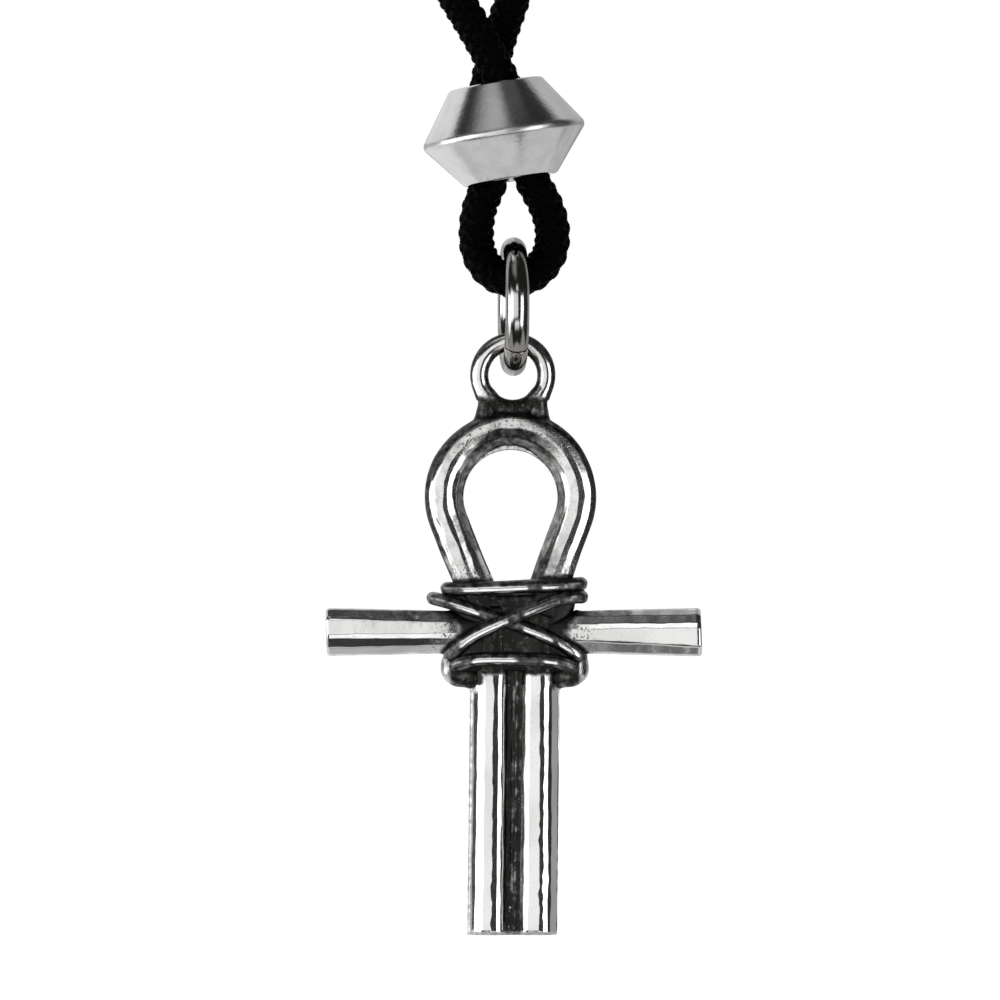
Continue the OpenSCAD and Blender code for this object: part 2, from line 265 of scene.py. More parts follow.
def make_piece(name, body, node, material, parts, attributes=None, uv=None):
    """Puts points in mm and faces into a mesh in metres, and has the piece stand for a CAD node."""
    points, quads, tris = parts
    mesh = bpy.data.meshes.new(name)
    mesh.vertices.add(len(points))
    mesh.vertices.foreach_set("co", (points * MM).astype(np.float32).ravel())
    corners = np.concatenate([quads.ravel(), tris.ravel()])
    mesh.loops.add(len(corners))
    mesh.loops.foreach_set("vertex_index", corners.astype(np.int32))
    starts = np.concatenate([np.arange(len(quads)) * 4, len(quads) * 4 + np.arange(len(tris)) * 3])
    mesh.polygons.add(len(starts))
    mesh.polygons.foreach_set("loop_start", starts.astype(np.int32))
    mesh.polygons.foreach_set("use_smooth", np.ones(len(starts), bool))
    for key_name, values in (attributes or {}).items():
        mesh.attributes.new(key_name, "FLOAT", "POINT").data.foreach_set(
            "value", values.astype(np.float32))
    if uv is not None:
        mesh.uv_layers.new(name="braid").data.foreach_set("uv", uv.astype(np.float32).ravel())
    mesh.update(calc_edges=True)
    mesh.validate()
    mesh.materials.append(material)
    piece = bpy.data.objects.new(name, mesh)
    bpy.context.scene.collection.objects.link(piece)
    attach(piece, body)
    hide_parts(node)
    low, high = points.min(0), points.max(0)
    print(f"{name}: {len(quads) * 2 + len(tris)} triangles, "
          f"{np.round(low, 2)} to {np.round(high, 2)} mm")


# %% [markdown]
# Wire, cord and the bars of the ankh are all one thing: a round section carried along a path.
# A curve with a bevel would give that too, but not a radius that changes round the section, so
# the sum is written out. It needs a direction to keep the section level with.

# %% Bars along a path, and two sums that many surfaces use
def headings(path, ring=False):
    """Unit directions along a path, from each point's two neighbours."""
    step = (np.roll(path, -1, 0) - np.roll(path, 1, 0)) if ring else np.gradient(path, axis=0)
    return step / np.linalg.norm(step, axis=1, keepdims=True)


def round_bar(path, radius, columns, level, ring=False, squash=1.0):
    """A bar along a path: at angle t a point lies radius * (cos t * u + squash * sin t * v) from
    the path, where u is square to the path and to the direction level, and v is square to both.
    The radius is one number, one for each row, or one for each row and column."""
    along = headings(path, ring)
    u = np.cross(along, level)
    u /= np.linalg.norm(u, axis=1, keepdims=True)
    v = np.cross(along, u)
    t = np.linspace(0, 2 * np.pi, columns, endpoint=False)
    radius = np.asarray(radius, float)
    if radius.ndim < 2:
        radius = np.broadcast_to(radius, (len(path),))[:, None]
    return path[:, None] + radius[..., None] * (np.cos(t)[:, None] * u[:, None]
                                                + squash * np.sin(t)[:, None] * v[:, None])


def smooth_step(x):
    """3x^2 - 2x^3 of x held between 0 and 1."""
    x = np.clip(x, 0, 1)
    return x * x * (3 - 2 * x)


def ripple(points, wave, seed):
    """A gentle waviness, mostly from -1 to 1: the mean of sines of the place along nine random
    directions whose wavelengths lie round the one given, times 1.6."""
    random = np.random.default_rng(seed)
    ways = random.normal(size=(9, 3))
    waves = wave * random.uniform(0.7, 1.5, 9)
    ways *= (2 * np.pi / waves / np.linalg.norm(ways, axis=1))[:, None]
    return np.sin(points @ ways.T + random.uniform(0, 6.3, 9)).mean(1) * 1.6


# %% [markdown]
# ## The ankh: one casting made of bars
# The real ankh is cast in one piece from a wax that was built up of bars: a loop, two rods side
# by side, a crossbar, and wire wound round the crossing. Each bar is a skin of its own here, and
# where skins meet, both are swollen a little, as molten metal fills a corner. Cutting and joining
# solids with booleans would leave slivers in those corners, and the skins keep even grids. The
# sizes are those of the CAD part, and the ankh's own zero is in the middle of its crossbar.

# %% Sizes of the ankh, in mm from its own zero
ANKH_ZERO = np.array([0.1, FRONT, -217.291])
SHAFT_L, ROD_R, ROD_X = 19.15, 1.175, 1.675
CROSS_HALF, CROSS_END_R, CROSS_ROOT_R = 11.85, 1.5, 1.325
LOOP_R, LOOP_BAR_R, LEG_SLANT, KNEE_Z = 4.2, 1.225, 21.0, 1.2
slant = math.radians(LEG_SLANT)
LOOP_Z = KNEE_Z + (LOOP_R - ROD_X * math.cos(slant)) / math.sin(slant)
BAIL_R, BAIL_WIRE_R, BAIL_Z = 2.125, 0.575, 16.261
BIND_R, CORE_W, CORE_DEPTH, CORE_H = 0.41, 4.05, 1.05, 2.4
PX = 1 / 15.8        # one pixel of the picture, in mm: the widths of flats are given in pixels
print("the loop's middle lies", round(LOOP_Z, 2), "mm above the crossbar's")

# %% [markdown]
# The rods and the crossbar were filed by hand, so their fronts are narrow flats and not round.
# That decides what they mirror: each flat shows one tone from end to end, and the rounded edges
# between flats give thin dark and bright lines. Bevelled boxes would have edges that are far too
# even. So a front is described by its flats, each with a tilt in degrees and a width, its edges
# stray a little, and its depth is the running sum of the slope.

# %% A bar whose front is a row of flats
# Tilts of neighbours whose edge is worn softer than others, and how much softer
WORN, WORN_SOFTER = {(-43, -13), (-43, -14), (-1, 17), (-15, 1)}, 2.4


def filed_front(flats, wander, soft=0.045, columns=60):
    """Place across and tilt of a filed front, for each row. Each flat has its own tilt, which
    passes to the next flat's by a smooth step at their edge. A flat may have two widths, in the
    first row and in the last. wander holds how far each edge strays in each row."""
    tilts = np.array([flat[0] for flat in flats])
    near, far = (np.array([flat[k] for flat in flats]) * PX for k in (1, -1))
    rows = len(wander)
    share = np.linspace(0, 1, rows)[:, None]
    edges = np.cumsum(near * (1 - share) + far * share, axis=1)
    across = np.linspace(0, near.sum(), columns)[None, :] * np.ones((rows, 1))
    tilt = np.full_like(across, tilts[0])
    for k in range(len(flats) - 1):
        place = edges[:, k, None] + wander[:, k % wander.shape[1], None]
        worn = soft * (WORN_SOFTER if (tilts[k], tilts[k + 1]) in WORN else 1.0)
        tilt = tilt + (tilts[k + 1] - tilts[k]) * smooth_step((across - place) / (2 * worn) + 0.5)
    return across - near.sum() / 2, tilt


def depth_of(across, tilt, crest):
    """The running sum of tan(tilt), with its least value moved to -crest, held in front of 0."""
    step = across[:, 1:2] - across[:, :1]
    depth = np.cumsum(np.tan(np.radians(tilt)), axis=1) * step
    return np.minimum(depth - depth.min(axis=1, keepdims=True) - crest, -0.02)


# %% Edges that stray, and the whole bar
def straying(rows, pitch, count, size, seed):
    """Smooth random wandering of count edges over the rows: noise at every pitch rows, joined by
    straight lines and rounded by a short running mean."""
    random = np.random.default_rng(seed)
    knots = np.arange(0, rows + 2 * pitch, pitch)
    lines = [np.interp(np.arange(rows), knots, random.normal(size=len(knots)))
             for _ in range(count)]
    span = max(3, pitch // 2)
    kernel = np.ones(span) / span
    return np.stack([np.convolve(line, kernel, "same") for line in lines], -1) * size


def there_and_back(across, front):
    """A closed section: the front's points, and then the same ones mirrored behind."""
    return np.hstack([across, across[:, ::-1]]), np.hstack([front, -front[:, ::-1]])


def filed_bar(flats, along, scale, crest, seed, ragged=()):
    """Rows of points (along, across, depth) for a bar with the same flats in front and behind,
    made larger or smaller by scale in each row. The edges named in ragged stray more, and more
    so towards the last row."""
    rows, edges = len(along), len(flats) - 1
    wander = straying(rows, 9, edges, 0.02, seed) + straying(rows, 3, edges, 0.012, seed + 50)
    rough = straying(rows, 1, edges, 0.07, seed + 90) * np.linspace(0.4, 1, rows)[:, None]
    for k in ragged:
        wander[:, k] += rough[:, k]
    across, tilt = filed_front(flats, wander)
    x, y = there_and_back(across, depth_of(across, tilt, crest))
    return np.stack([np.broadcast_to(along[:, None], x.shape), x * scale[:, None],
                     y * scale[:, None]], -1)


# %% The two rods of the shaft
#              tilt, width at the top, width at the bottom
LEFT_FLATS = [(-78, 0.5, 0.5), (-64, 4.5, 4.1), (-54, 4.4, 3.3), (-43, 6.2, 7.2),
              (-13, 8.0, 9.0), (9, 5.6, 5.6), (23, 3.6, 3.6), (42, 2.2, 2.4), (70, 2.1, 1.4)]
RIGHT_FLATS = [(-70, 1.5, 1.5), (-60, 1.6, 3.6), (-43, 3.8, 3.0), (-14, 10.2, 11.0), (9, 4.6, 4.4),
               (23, 4.4, 4.4), (41, 2.9, 2.6), (62, 7.4, 6.1), (78, 0.7, 0.5)]


def shaft_rows(count):
    """Heights from inside the binding down to the foot, close together at the foot's edge."""
    return np.concatenate([np.linspace(1.6, 0.24 - SHAFT_L, count),
                           np.array([0.2, 0.12, 0.04, 0]) - SHAFT_L])


def thinner_foot(rows, share):
    """The depth's share of the whole in each row: less only in the foot's last 0.22 mm."""
    return np.interp(rows, [-SHAFT_L, 0.22 - SHAFT_L], [share, 1])[:, None]


def rod(flats, middle, seed, ragged, wider=0.0):
    """A rod, whose left half grows wider towards the foot by the share given."""
    rows = shaft_rows(140)
    scale = np.concatenate([np.ones(141), [0.99, 0.975, 0.94]])
    z, x, y = np.moveaxis(filed_bar(flats, rows, scale, ROD_R, seed, ragged), -1, 0)
    x = x * (1 + wider * smooth_step(-rows / SHAFT_L)[:, None] * (x < 0))
    return np.stack([x + middle, y * thinner_foot(rows, 0.72), z], -1)


left_rod = skin(rod(LEFT_FLATS, -ROD_X, 3, [4]))
right_rod = skin(rod(RIGHT_FLATS, ROD_X, 7, [3, 4], 0.09))
print("rods", len(left_rod[0]) + len(right_rod[0]), "points")

# %% [markdown]
# The rods don't touch: a thin web joins them, sunk deep between their fronts. Polishing hardly
# reaches it, so it stays black but for a narrow rib down its middle, and its skin is as rough as
# it was cast. The rib is a bell curve across and comes and goes along the web.

# %% The web between the rods, with its worn rib
WEB_DEPTH, RIB_X, RIB_HALF_WIDTH = 0.5, -0.05, 0.13
web_rows = shaft_rows(106)
web_x, web_z = np.meshgrid(np.linspace(-ROD_X, ROD_X, 40), web_rows)
rib_height = 0.8 + 0.5 * ripple(web_rows[:, None] * [0, 0, 1], 2.2, 4)
rib = np.exp(-((web_x - RIB_X) / RIB_HALF_WIDTH) ** 2) * 0.2 * rib_height[:, None]
web_places = np.stack([web_x, 0 * web_x, web_z], -1).reshape(-1, 3)
rough_skin = 0.03 * ripple(web_places, 0.5, 12).reshape(web_x.shape)
web_front = -(WEB_DEPTH + rib + rough_skin) * thinner_foot(web_rows, 0.8)
web_x, web_y = there_and_back(web_x, web_front)
web = skin(np.stack([web_x, web_y, np.broadcast_to(web_rows[:, None], web_x.shape)], -1))
print("web", len(web[0]), "points")

# %% [markdown]
# The crossbar is one bar that is thinnest where the wire binds it. Its two arms were filed
# separately, so each has flats of its own.

# %% The crossbar
#             tilt, width at the root, width at the end
LEFT_ARM = [(-72, 1.4, 1.4), (-47, 9.8, 6.8), (-29, 2.6, 1.6), (-15, 1.2, 2.2), (-1, 9.6, 14.0),
            (17, 6.8, 5.0), (27, 7.4, 9.3), (54, 8.0, 6.5), (74, 1.2, 1.2)]
RIGHT_ARM = [(-74, 1.2, 1.2), (-57, 5.8, 5.8), (-27, 7.6, 7.6), (-15, 6.6, 6.0), (1, 9.0, 16.6),
             (28, 2.4, 2.2), (45, 14.0, 7.4), (70, 1.4, 1.2)]


def arm(flats, direction, seed):
    """An arm of the crossbar: the flats run along it, and it thickens towards its end."""
    start = 1.4
    rows = np.concatenate([np.linspace(start, CROSS_HALF - 0.22, 70),
                           CROSS_HALF - np.array([0.12, 0.04, 0.0])])
    size = np.interp(rows, [start, CORE_W, CROSS_HALF], [0.95, CROSS_ROOT_R, CROSS_END_R])
    scale = size / CROSS_END_R * np.concatenate([np.ones(70), [0.985, 0.95, 0.88]])
    x, z, y = np.moveaxis(filed_bar(flats, rows, scale, CROSS_END_R, seed), -1, 0)
    return np.stack([x * direction, y, -z], -1)


left_arm = skin(arm(LEFT_ARM, -1, 21))
right_arm = skin(arm(RIGHT_ARM, 1, 33))
print("arms", len(left_arm[0]) + len(right_arm[0]), "points")

# %% [markdown]
# The loop is one bar: a straight leg, three fifths of a circle and another leg. It was filed too,
# and it mirrors other parts of the room as it turns, so its flats change along it: three fronts
# are worked out, for its left, its top and its right, and blended by the place round the circle.

# %% The path of the loop
arc = np.radians(np.linspace(90, -LEG_SLANT, 60))
right_half = np.stack([LOOP_R * np.cos(arc), 0 * arc, LOOP_Z + LOOP_R * np.sin(arc)], -1)
leg_end = np.array([ROD_X, 0, KNEE_Z])
leg_run = right_half[-1] + (leg_end - right_half[-1]) * np.linspace(0, 1, 40)[1:, None]
right_half = np.vstack([right_half, leg_run])
loop_path = np.vstack([(right_half * [-1, 1, 1])[:0:-1], right_half])
loop_rows = len(loop_path)
loop_way = headings(loop_path)
inward = np.stack([-loop_way[:, 2], 0 * loop_way[:, 2], loop_way[:, 0]], -1)
inward *= -np.sign((inward * (loop_path - [0, 0, LOOP_Z])).sum(1))[:, None]
print("loop path of", loop_rows, "rows")

# %% The front of the loop
# Flats from the outer edge to the inner one: on the left, on top and on the right
LOOP_LEFT = [(-75, 1.5), (-56, 3.7), (-43, 3.6), (-14, 8.7), (11, 5.2), (24, 4.8), (41, 4.6),
             (62, 5.2), (78, 0.9)]
LOOP_TOP = [(-72, 4.6), (-34, 3.4), (-15, 2.2), (-3, 6.4), (27, 10.4), (60, 9.6), (78, 2.0)]
LOOP_RIGHT = [(-78, 1.4), (-43, 4.4), (-24, 6.4), (-11, 6.6), (14, 9.2), (43, 4.8), (62, 5.2),
              (78, 0.9)]
loop_tilts = []
for number, (flats, unrest) in enumerate(((LOOP_LEFT, 1.0), (LOOP_TOP, 1.0), (LOOP_RIGHT, 0.45))):
    strays = (straying(loop_rows, 9, 8, 0.045, 80 + number)
              + straying(loop_rows, 3, 8, 0.03, 90 + number)) * unrest
    loop_across, tilt = filed_front(flats, strays, soft=0.07, columns=40)
    loop_across = loop_across * (2 * LOOP_BAR_R / (loop_across[:, -1:] - loop_across[:, :1]))
    loop_tilts.append(tilt)
round_side = np.degrees(np.arctan2(loop_path[:, 0], loop_path[:, 2] - LOOP_Z))[:, None]
on_right = smooth_step((round_side - 10) / 55)
on_left = smooth_step((-round_side - 10) / 55)
on_top = 1 - on_left - on_right
tilt = on_left * loop_tilts[0] + on_right * loop_tilts[2] + on_top * loop_tilts[1]
loop_x, loop_y = there_and_back(loop_across, depth_of(loop_across, tilt, LOOP_BAR_R))
loop = skin(loop_path[:, None] + loop_x[..., None] * inward[:, None]
            + loop_y[..., None] * np.array([0, 1.0, 0]))
print("loop", len(loop[0]), "points")

# %% [markdown]
# The bail on top is a small ring of round wire. Cast feet fill the corners between it and the
# loop. They are short bars that grow thicker downwards.

# %% The bail and its feet
turn = np.linspace(0, 2 * np.pi, 90, endpoint=False)
bail_path = np.stack([BAIL_R * np.sin(turn), 0 * turn, BAIL_Z + BAIL_R * np.cos(turn)], -1)
bail = skin(round_bar(bail_path, BAIL_WIRE_R, 28, (0, 1, 0), ring=True), ring=True)


def foot(direction):
    """A cast foot: a short bar from the side of the bail down into the loop, thicker below."""
    t = np.linspace(0, 1, 16)
    path = np.stack([direction * (1.62 + 0.15 * t ** 2), 0 * t, 15.2 - 2.4 * t], -1)
    return skin(round_bar(path, 0.4 + 0.24 * smooth_step(t * 1.6), 24, (0, 1, 0)))


feet = [foot(-1), foot(1)]
print("bail and feet", sum(len(part[0]) for part in (bail, *feet)), "points")

# %% [markdown]
# The binding is four closed turns of round wire over a flat core. Two of them cross in front. A
# turn's middle line is cos and a flattened sine, so that it lies squarely on the core, and its
# height leans and curls at the ends.

# %% The binding wire
#        wide  proud  shift   mid   rise  left curl, right curl
TURNS = [(0.25, 0.30, 0.15, 1.19, 0.07, 0.02, 0.02),
         (0.20, 0.50, 0.20, 0.43, 0.71, -0.33, -0.21),
         (0.70, 0.20, -0.52, 0.28, -0.67, -0.06, -0.28),
         (-0.20, 0.32, -0.05, -0.70, -0.02, -0.24, -0.24)]
# Where along x polishing has rubbed each turn bright, in mm
RUBBED = [[(-3.3, 1.1), (1.87, 3.5)],
          [(-3.5, -0.34), (0.67, 2.95)],
          [(-4.2, -2.1), (0.6, 2.5), (2.82, 4.1)],
          [(-2.8, 0.23), (1.8, 2.7)]]
FLAT_DOWN, FLAT_CUT = 15.0, 0.93


def turn_of_wire(wide, proud, shift, mid, rise_by, left_curl, right_curl, steps=132):
    """Middle line of a turn. At angle a and with d for the wire's width, x is the core's half
    width + wide d, times cos a, plus shift d; y is minus the core's half depth + proud d, times
    sin a's sign and the 0.55th power of its size; z is the core's half height times
    (mid + rise cos a + curl cos^4 a)."""
    a = 2 * np.pi * (np.arange(steps) + 0.5) / steps
    u, s = np.cos(a), np.sin(a)
    d = 2 * BIND_R
    curl = np.where(u < 0, left_curl, right_curl) * u ** 4
    return np.stack([(CORE_W + wide * d) * u + shift * d,
                     -(CORE_DEPTH + proud * d) * np.sign(s) * np.abs(s) ** 0.55,
                     CORE_H * (mid + rise_by * u + curl)], -1)


def worn_wire(path, seed, columns=28):
    """A round wire with a narrow flat that faces out and a little down: the radius at angle t is
    R * min(1, cut / cos(t - t0)), and R swells and shrinks by a few hundredths along the wire."""
    t = np.linspace(0, 2 * np.pi, columns, endpoint=False)
    to_flat = np.cos(t - math.radians(180 - FLAT_DOWN))
    section = np.minimum(1, FLAT_CUT / np.maximum(to_flat, 0.5))
    size = BIND_R * (1.03 + 0.05 * ripple(path, 3.0, seed))
    return skin(round_bar(path, size[:, None] * section, columns, (0, 0, 1), ring=True), ring=True)


wire_paths = [turn_of_wire(*row) for row in TURNS]
wires = [worn_wire(path, 60 + k) for k, path in enumerate(wire_paths)]
print("wire turns", sum(len(wire[0]) for wire in wires), "points")

# %% [markdown]
# Under the wire lies a flat core with rounded edges, drawn in at half its height. Its section is
# a rectangle with round corners: the cosine and sine of an angle, each raised to a small power.
# Below it, one thick turn shows as a collar at either side of the rods.

# %% The core and the collar below it
core_t = np.linspace(0, 2 * np.pi, 96, endpoint=False)
upper_z, upper_in = [0.5, 1.0, 1.5, 2.0, 2.3, 2.4, 2.42], [0, 0, 0, 0.02, 0.06, 0.2, 0.4]
core_z = np.array([-z for z in upper_z[::-1]] + [0] + upper_z)
core_in = np.array(upper_in[::-1] + [0] + upper_in)      # how far its edges are rounded in
core_w = CORE_W - core_in[:, None] - 0.8 * np.exp(-(core_z[:, None] / 1.3) ** 2)
core_d = CORE_DEPTH - core_in[:, None] * 0.8
core = skin(np.stack([core_w * np.sign(np.cos(core_t)) * np.abs(np.cos(core_t)) ** 0.6,
                      core_d * np.sign(np.sin(core_t)) * np.abs(np.sin(core_t)) ** 0.45,
                      np.broadcast_to(core_z[:, None], (len(core_z), len(core_t)))], -1))


def lobe(direction):
    """The collar under one side of the binding: a bar that curls from the core's side to the
    rod. Its knots are rounded by a running mean of five points."""
    knots = np.array([[3.55, -1.5], [3.9, -2.0], [3.92, -2.45], [3.6, -2.72], [2.9, -2.84],
                      [2.0, -2.95]])
    t = np.linspace(0, 5, 40)
    x, z = (np.interp(t, np.arange(6), knots[:, k]) for k in (0, 1))
    kernel = np.array([1, 2, 3, 2, 1]) / 9
    x[2:-2], z[2:-2] = np.convolve(x, kernel, "valid"), np.convolve(z, kernel, "valid")
    path = np.stack([direction * x, 0 * x, z], -1)
    radius = np.interp(t, [0, 1, 3, 5], [0.6, 0.78, 0.76, 0.6])
    return skin(round_bar(path, radius, 32, (0, 1, 0), squash=1.12))


lobes = [lobe(-1), lobe(1)]
print("core and collar", sum(len(part[0]) for part in (core, *lobes)), "points")

# %% [markdown]
# ### Joining the skins
# For each point the distance to every other bar is measured, as the distance to its middle line
# less its radius. Within half a millimetre of another bar the surface swells by
# (k - d)^2 / 4k, which is the smooth union of two rounded forms. The same distance tells where
# polishing never reached, and there the black finish stays.

# %% Distances between the bars
def distance_to_bar(points, path, radius):
    """From each point to the nearest place on each straight stretch of the path, the least of
    them, less the radius. It goes through the points in batches to save memory."""
    start, along = path[:-1], np.diff(path, axis=0)
    length2 = np.maximum((along ** 2).sum(1), 1e-12)
    found = np.empty(len(points))
    for k in range(0, len(points), 3000):
        off = points[k:k + 3000, None] - start[None]
        share = np.clip((off * along).sum(2) / length2, 0, 1)
        found[k:k + 3000] = np.sqrt(((off - share[..., None] * along) ** 2).sum(2).min(1))
    return found - radius


def distance_to_core(points):
    """To a slab with round ends: the distance in plan from its middle line less its half depth,
    or the height above it, whichever is more."""
    plan = np.hypot(np.maximum(np.abs(points[:, 0]) - (CORE_W - CORE_DEPTH), 0), points[:, 1])
    return np.maximum(plan - CORE_DEPTH, np.abs(points[:, 2]) - CORE_H)


def distance_to_web(points):
    """To a flat box: the most of the three distances from its middle planes less its halves."""
    return np.maximum.reduce([np.abs(points[:, 1]) - WEB_DEPTH, np.abs(points[:, 0]) - ROD_X,
                              np.abs(points[:, 2] + SHAFT_L / 2 - 1) - SHAFT_L / 2])


def to_bar(path, radius):
    """The function that gives points their distances to this bar."""
    return lambda points: distance_to_bar(points, np.array(path, float), radius)


def to_ring(path, radius):
    """The same for a bar whose ends meet. Every third point of its path is enough."""
    return to_bar(np.vstack([path, path[:1]])[::3], radius)


# %% All the bars, and how far each one swells
ARM_R = 1.36      # between the arms' radius at the root and at the end
SKINS = {
    "left_rod": (left_rod, to_bar([[-ROD_X, 0, 1], [-ROD_X, 0, -SHAFT_L]], ROD_R)),
    "right_rod": (right_rod, to_bar([[ROD_X, 0, 1], [ROD_X, 0, -SHAFT_L]], ROD_R)),
    "web": (web, distance_to_web),
    "left_arm": (left_arm, to_bar([[-2, 0, 0], [-12, 0, 0]], ARM_R)),
    "right_arm": (right_arm, to_bar([[2, 0, 0], [12, 0, 0]], ARM_R)),
    "loop": (loop, to_bar(loop_path[::3], LOOP_BAR_R)),
    "core": (core, distance_to_core),
    "bail": (bail, to_ring(bail_path, BAIL_WIRE_R)),
    "left_foot": (feet[0], to_bar([[-1.65, 0, 14.8], [-1.75, 0, 13]], 0.6)),
    "right_foot": (feet[1], to_bar([[1.65, 0, 14.8], [1.75, 0, 13]], 0.6)),
    "left_lobe": (lobes[0], to_bar([[-3.8, 0, -1.8], [-3.7, 0, -2.6], [-2.2, 0, -2.9]], 0.75)),
    "right_lobe": (lobes[1], to_bar([[3.8, 0, -1.8], [3.7, 0, -2.6], [2.2, 0, -2.9]], 0.75)),
    **{f"wire_{k}": (wires[k], to_ring(path, BIND_R)) for k, path in enumerate(wire_paths)},
}
FILLET = {"wire": 0.22, "bail": 0.35, "left_foot": 0.5, "right_foot": 0.5}
OTHER_FILLET = 0.4
# Bars that run into one another anyway, and so leave no blackened corner
SAME = [{"left_rod", "loop"}, {"right_rod", "loop"}, {"left_foot", "bail"}, {"right_foot", "bail"}]


def kind_of(name):
    """The four turns of wire are one kind, and every other bar is its own."""
    return "wire" if name.startswith("wire") else name


def near_and_swell(name, points):
    """The distance to the nearest other bar, and how far each point swells: the most, over the
    other bars, of (k - d)^2 / 4k, where k is the smaller FILLET of the two."""
    far_away = 9.0
    near, swell = np.full(len(points), far_away), np.zeros(len(points))
    for other, (_, distance) in SKINS.items():
        if other == name:
            continue
        gap = distance(points)
        limit = min(FILLET.get(kind_of(bar), OTHER_FILLET) for bar in (name, other))
        swell = np.maximum(swell, np.maximum(limit - np.abs(gap), 0) ** 2 / (4 * limit))
        if {name, other} not in SAME:
            near = np.minimum(near, gap)
    return near, swell


print("casting of", len(SKINS), "skins")

# %% [markdown]
# The black finish isn't even. Polishing rubs the outer sides of the wire and misses the banks
# beside the web and the roots of the arms. Shade and highlights are painted into the same
# blackness too: painted shade on the loop's sides and top, the bail's sides, the arms' upper
# sides and the left rod's outer edge, painted highlights on the web and the collar's rim, and a
# painted grey line at the foot's edge. So each kind of bar has a rule of its own: it takes the
# points, their normals and the blackness from 0 to 1 that the corners gave, and adds its own dark
# places or rubs some bright. Places are in mm.

# %% Two measures that the finish goes by
def fade(x, start, width):
    """0 up to start, 1 from start + width on, and a smooth step between."""
    return smooth_step((x - start) / width)


def outwardness(points, normals, middle_z):
    """From -1 where a ring's skin faces its middle to 1 where it faces away from it."""
    away = np.stack([points[:, 0], points[:, 2] - middle_z], -1)
    away /= np.linalg.norm(away, axis=1, keepdims=True)
    return (normals[:, [0, 2]] * away).sum(1)


# %% The wire, the rods and the web
def black_wire(points, normals, corner, rubbed_x):
    """Dark, with a bright stripe that faces out and a little down. The stripe runs over the
    places rubbed_x, and its half width grows as the root of the distance from its end."""
    x = points[:, 0]
    from_end = np.max([np.minimum(x - low, high - x) for low, high in rubbed_x], 0)
    half_stripe = (0.33 * np.sqrt(np.clip(from_end / 0.9, 0, 1))
                   * (1 + 0.3 * ripple(points, 1.6, 8)))
    rubbed = fade(half_stripe - np.abs(normals[:, 2] + 0.23), 0, 0.16)
    rubbed *= fade(np.abs(normals[:, 1]), 0.4, 0.2)
    black = np.maximum(BLACK["wire"], corner * 0.85) - 0.12 * fade(np.abs(x), 4.2, 0.4)
    return np.maximum(black - 0.95 * rubbed, 0)


def painted_foot_rim(points, black):
    """The last 0.2 mm of the foot is painted half bright, on the rods and on the web alike: a
    painted grey line along the foot's edge.
    """
    # painted grey line along the foot's edge
    rim = 1 - fade(points[:, 2] + SHAFT_L, 0.17, 0.08)
    return black * (1 - rim) + 0.46 * rim


def rod_patina_and_painted_shade(points, normals, black):
    """Below the binding only the bank beside the web is black. It is wider on the left rod,
    which also has painted shade, half black, along its outer side."""
    x, y, z = points.T
    bank = np.where(x > 0, 0.02, 0.2)
    black = np.where(z < -3.4, 1 - fade(distance_to_web(points), bank, 0.16), black)
    # painted shade: half black along the left rod's outer side
    painted_edge_shade = fade(-x, 2.45, 0.1) * (1 - fade(np.abs(y), 0.08, 0.1))
    return painted_foot_rim(points, np.maximum(black, 0.5 * painted_edge_shade))


# Lines of painted glints down the web
#             x, wave length, strength
WEB_LINES = [(-0.5, 1.7, 0.22), (-0.05, 3.0, 0.26), (0.16, 1.1, 0.3), (0.44, 2.2, 0.2)]


def web_patina_and_painted_glints(points, normals, black):
    """Black, with four fine brighter lines that come and go along it: painted glints, one of them
    on the rib.
    """
    black = painted_foot_rim(points, black)
    for line_x, wave, strength in WEB_LINES:
        line = np.exp(-((points[:, 0] - line_x - 0.02 * np.sin(points[:, 2])) / 0.075) ** 2)
        shown = smooth_step(0.5 + 1.5 * ripple(points * [0, 0, 1], wave, 9))
        black = black - strength * line * shown
    return black


# %% The arms, the bail, the loop, the core and the collar
def arm_patina_and_painted_shade(points, normals, black):
    """Black patina where it comes out of the binding, and painted shade that reaches further out on
    the side that faces up.
    """
    from_middle = np.abs(points[:, 0])
    black = np.maximum(black, 1 - fade(from_middle, 2.7, 1.5))
    # painted shade on the side that faces up
    facing_up = fade(normals[:, 2], 0.5, 0.15)
    return np.maximum(black, 0.62 * facing_up * (1 - fade(from_middle, 7.1, 0.9)))


def bail_patina_and_painted_shade(points, normals, black):
    """Black patina low down between the feet, and painted shade along its inner and outer sides."""
    side_on = outwardness(points, normals, BAIL_Z)
    black = np.maximum(black, 0.9 * (1 - fade(points[:, 2], 14.6, 0.8)))
    # painted shade along the bail's inner and outer sides
    return np.maximum(black, 0.85 * fade(np.abs(side_on - 0.05), 0.45, 0.3))


def loop_patina_and_painted_shade(points, normals, black):
    """Painted shade along its outer and inner sides, at its top and inside its right leg, and black
    patina down in the binding.
    """
    side_on = outwardness(points, normals, LOOP_Z)
    x, _, z = points.T
    high = fade(z - LOOP_Z, 0.8, 2.4)
    right_leg = smooth_step(x) * (1 - fade(z, 4.5, 2.5))
    # painted shade on the sides, the top and the right leg; patina where the loop enters the
    # binding
    return np.maximum.reduce([
        black, 0.85 * fade(side_on, 0.62, 0.2),
        high * (0.35 + 0.5 * fade(-side_on, 0.3, 0.2) - 0.25 * fade(-side_on, 0.75, 0.2)
                + 0.45 * fade(side_on, 0.3, 0.3)),
        0.66 * fade(-side_on, 0.62, 0.16), right_leg * (0.5 + 0.3 * fade(-side_on, 0.2, 0.3)),
        1 - fade(z, 2.9, 1.1)])


def black_core(points, normals, black):
    """Black, and a little worn in two upright stripes."""
    return black - 0.13 * np.exp(-((np.abs(points[:, 0]) - 1.3) / 0.5) ** 2)


